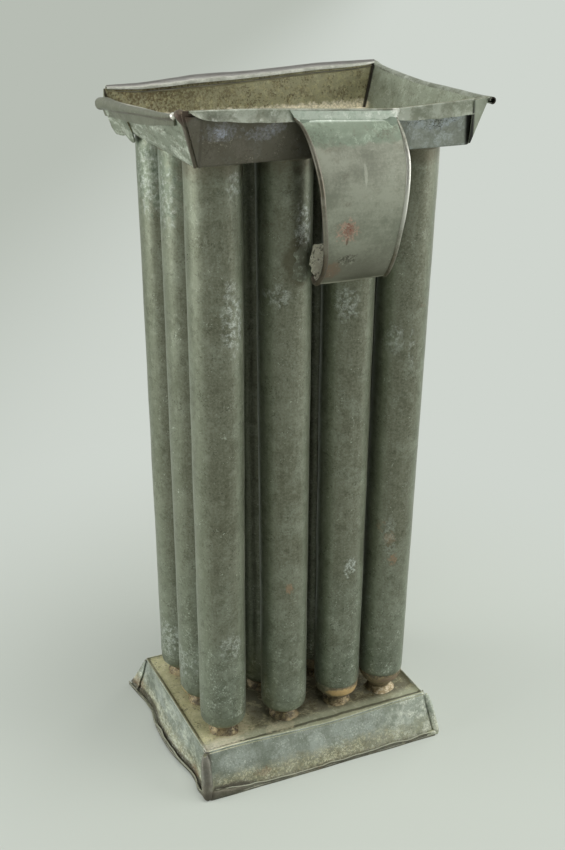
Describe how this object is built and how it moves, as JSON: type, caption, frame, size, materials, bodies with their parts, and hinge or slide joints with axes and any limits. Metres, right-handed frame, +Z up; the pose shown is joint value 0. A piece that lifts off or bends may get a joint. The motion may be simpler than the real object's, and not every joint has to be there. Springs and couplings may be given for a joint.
{
  "type": "candle mould",
  "caption": "Soldered tinplate mould with tapered candle tubes between a flared pouring tray and a flared foot, with a strap handle on one side.",
  "frame": {"origin": "on the floor under the middle of the whole mould's box; the middle of the base and of the tubes is 3.7 mm further back, because the handle stands out in front", "axes": "+Z up along the tubes; +X to the right along the long front side; -Y towards the front, where the handle is"},
  "size_m": [0.1212, 0.1014, 0.2764],
  "materials": {
    "tin_tray": "dull grey-green patina on tinned sheet, bright on the worn rolled edges",
    "tin_tube": "dull grey-green patina on tinned sheet with white mottling",
    "tin_base": "dull patina with olive and rust speckle",
    "tin_handle": "dull patina, smoother and lighter, with small rust blooms",
    "rusty_tip": "tinned sheet gone golden brown with rust",
    "solder": "rough pale oxidised solder"
  },
  "bodies": {
    "root": {"tray": "tin_tray", "base": "tin_base", "handle": "tin_handle", "tube_front_1": "tin_tube", "tube_front_2": "tin_tube", "tube_front_3": "tin_tube", "tube_front_4": "tin_tube", "tube_middle_1": "tin_tube", "tube_middle_2": "tin_tube", "tube_middle_3": "tin_tube", "tube_middle_4": "tin_tube", "tube_back_1": "tin_tube", "tube_back_2": "tin_tube", "tube_back_3": "tin_tube", "tube_back_4": "tin_tube", "tip_front_1": "rusty_tip", "tip_front_2": "rusty_tip", "tip_front_3": "rusty_tip", "tip_front_4": "rusty_tip", "tip_middle_1": "rusty_tip", "tip_middle_2": "rusty_tip", "tip_middle_3": "rusty_tip", "tip_middle_4": "rusty_tip", "tip_back_1": "rusty_tip", "tip_back_2": "rusty_tip", "tip_back_3": "rusty_tip", "tip_back_4": "rusty_tip", "top_solder_front_1": "solder", "top_solder_front_2": "solder", "top_solder_front_3": "solder", "top_solder_front_4": "solder", "top_solder_middle_1": "solder", "top_solder_middle_2": "solder", "top_solder_middle_3": "solder", "top_solder_middle_4": "solder", "top_solder_back_1": "solder", "top_solder_back_2": "solder", "top_solder_back_3": "solder", "top_solder_back_4": "solder", "foot_solder_front_1": "solder", "foot_solder_front_2": "solder", "foot_solder_front_3": "solder", "foot_solder_front_4": "solder", "foot_solder_middle_1": "solder", "foot_solder_middle_2": "solder", "foot_solder_middle_3": "solder", "foot_solder_middle_4": "solder", "foot_solder_back_1": "solder", "foot_solder_back_2": "solder", "foot_solder_back_3": "solder", "foot_solder_back_4": "solder", "handle_top_solder": "solder", "handle_foot_solder_left": "solder", "handle_foot_solder_right": "solder"}
  },
  "joints": []
}
